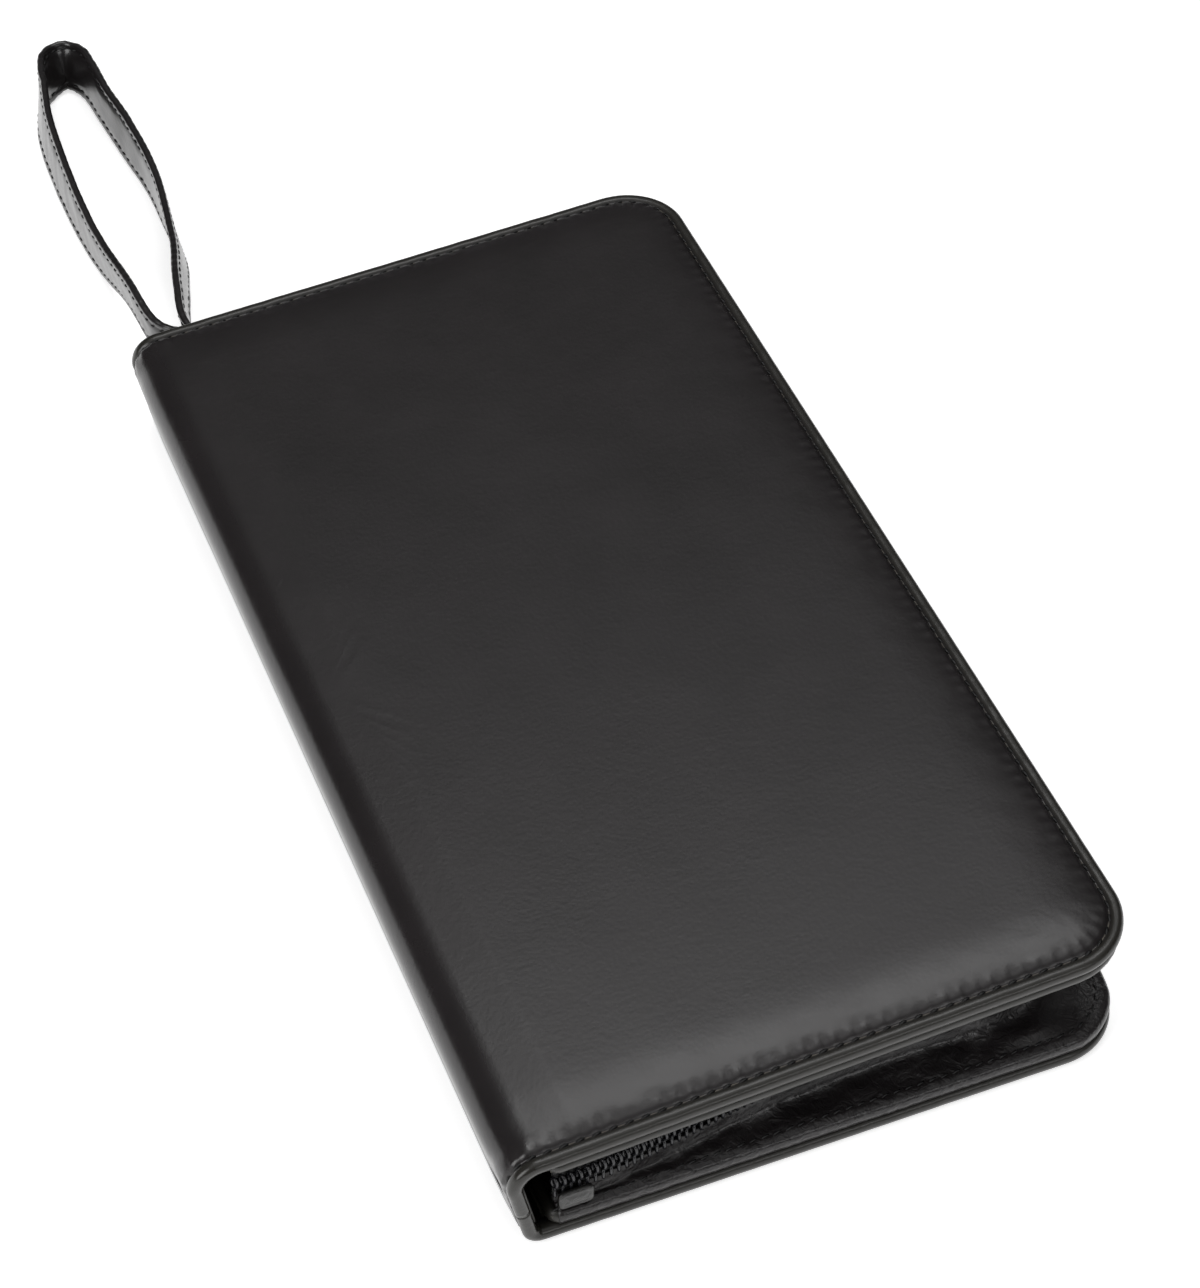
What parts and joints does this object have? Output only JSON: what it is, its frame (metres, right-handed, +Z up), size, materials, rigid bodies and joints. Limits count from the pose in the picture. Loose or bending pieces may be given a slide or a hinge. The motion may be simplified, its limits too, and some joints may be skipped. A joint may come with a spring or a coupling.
{
  "type": "travel document organizer",
  "caption": "Zip-around leather case for travel papers: two padded covers on a folding spine, pockets inside, and a wrist strap on the zip slider.",
  "frame": {"origin": "on the back cover's underside, below the middle of the closed case", "axes": "+X from the spine to the fore edge, +Y along the case towards the wrist strap, +Z up through the front cover"},
  "size_m": [0.126, 0.3598, 0.0316],
  "materials": {
    "outer_leather": "satin black cowhide with a fine grain",
    "lining_leather": "smooth black lining leather",
    "gusset_leather": "soft black gusset leather",
    "strap_leather": "glossy black leather strap",
    "cover_board": "pressed fibre board, hidden",
    "padding": "thin foam padding, hidden",
    "window_film": "clear vinyl",
    "zipper_tape": "black woven polyester tape",
    "zipper_coil": "black nylon coil",
    "black_nickel": "black nickel plate"
  },
  "bodies": {
    "back_cover": {"back_cover_leather": "outer_leather", "back_board": "cover_board", "back_padding": "padding", "back_lining": "lining_leather", "back_lining_board": "cover_board", "ticket_pocket": "lining_leather", "passport_pocket": "lining_leather", "zipper_tape_lower": "zipper_tape", "zipper_coil_lower": "zipper_coil", "zipper_gusset_lower": "gusset_leather", "zipper_stop_lower": "black_nickel", "zipper_end_tab": "gusset_leather"},
    "spine": {"spine_leather": "outer_leather", "spine_board": "cover_board", "spine_lining": "lining_leather", "pen_loop": "lining_leather"},
    "front_cover": {"front_cover_leather": "outer_leather", "front_board": "cover_board", "front_padding": "padding", "front_lining": "lining_leather", "front_lining_board": "cover_board", "card_pocket_1": "lining_leather", "card_pocket_2": "lining_leather", "card_pocket_3": "lining_leather", "card_pocket_4": "lining_leather", "id_window_film": "window_film", "id_window_frame": "lining_leather", "zipper_tape_upper": "zipper_tape", "zipper_coil_upper": "zipper_coil", "zipper_gusset_upper": "gusset_leather", "zipper_stop_upper": "black_nickel"},
    "slider": {"slider_body": "black_nickel"},
    "ring": {"strap_ring": "black_nickel"},
    "wrist_strap": {"strap_band": "strap_leather"}
  },
  "joints": [
    {"name": "cover_crease", "type": "hinge", "parent": "spine", "child": "front_cover", "pos_m": [-0.06224, 0, 0.02288], "axis": [0, -1, 0], "range_deg": [0, 97.47]},
    {"name": "spine_crease", "type": "hinge", "parent": "back_cover", "child": "spine", "pos_m": [-0.05912, 0, 0.00074], "axis": [0, -1, 0], "range_deg": [0, 79.34]},
    {"name": "zip_slide", "type": "slide", "parent": "back_cover", "child": "slider", "axis": [0.998, -0.057, 0.0279], "range_m": [0, 0.045]},
    {"name": "ring_swing", "type": "hinge", "parent": "slider", "child": "ring", "pos_m": [-0.04821, 0.11731, 0.01271], "axis": [0, 0, 1], "range_deg": [-35, 35]},
    {"name": "strap_swing", "type": "hinge", "parent": "ring", "child": "wrist_strap", "pos_m": [-0.04786, 0.1235, 0.01271], "axis": [0, 0, 1], "range_deg": [-30, 30]}
  ],
  "couplings": [
    {"joint": "spine_crease", "follows": "cover_crease", "ratio": 0.81386}
  ]
}
